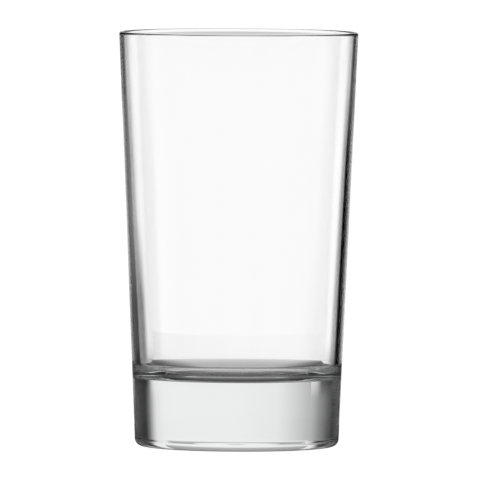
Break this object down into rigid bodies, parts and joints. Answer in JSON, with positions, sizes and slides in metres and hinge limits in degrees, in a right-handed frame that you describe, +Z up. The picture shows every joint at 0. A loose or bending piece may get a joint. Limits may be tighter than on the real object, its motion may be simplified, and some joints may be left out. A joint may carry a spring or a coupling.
{
  "type": "water glass",
  "caption": "Clear heavy-base tumbler for water, with straight tapering sides, a fire-polished lip and a stippled standing ring.",
  "frame": {"origin": "centre of the standing ring, on the plane that the glass rests on", "axes": "+Z up along the axis of revolution, from the foot to the lip; X and Y lie in the table's plane"},
  "size_m": [0.07, 0.07, 0.121],
  "materials": {
    "clear_glass": "clear fire-polished soda-lime glass, colourless with a faint grey-green cast in the thick base"
  },
  "bodies": {
    "root": {"tumbler": "clear_glass"}
  },
  "joints": []
}
